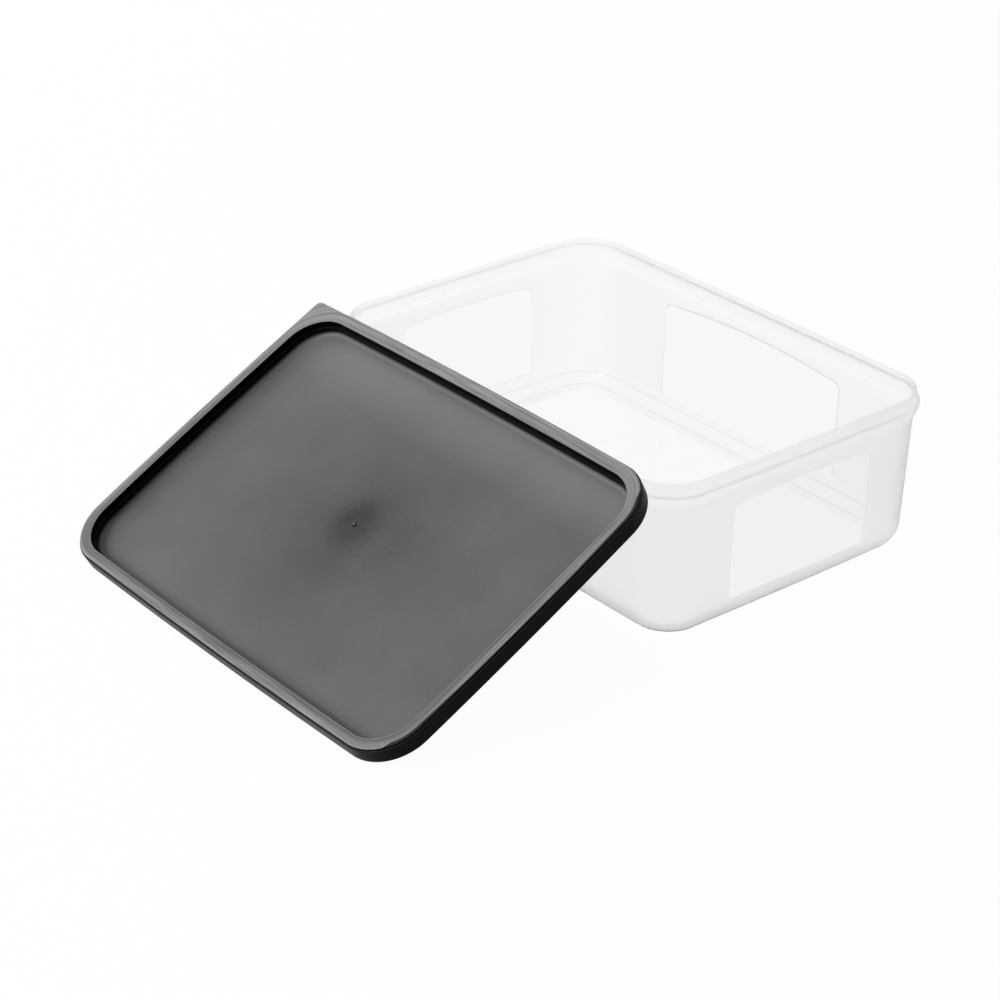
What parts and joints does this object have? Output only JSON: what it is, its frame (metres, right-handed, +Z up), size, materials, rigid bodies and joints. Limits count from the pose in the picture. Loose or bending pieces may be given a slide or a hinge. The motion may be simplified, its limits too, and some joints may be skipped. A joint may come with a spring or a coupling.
{
  "type": "rectangular food container",
  "caption": "Rectangular translucent food tub with a snap rim and flat window panels, and its recessed push-on lid leaning against the rim.",
  "frame": {"origin": "middle of the tub's flat underside, on the table", "axes": "+X along the tub's long side, +Y across it away from the leaning lid, +Z up"},
  "size_m": [0.2622, 0.3387, 0.0921],
  "materials": {
    "tub_plastic": "milky translucent, satin with clearer window panels",
    "lid_plastic": "black satin, finely scuffed on the frame"
  },
  "bodies": {
    "tub_body": {"tub": "tub_plastic"},
    "lid_body": {"lid": "lid_plastic"}
  },
  "joints": [
    {"name": "lid_lift", "type": "slide", "parent": "tub_body", "child": "lid_body", "axis": [0, 0, 1], "range_m": [0, 0.12]}
  ]
}
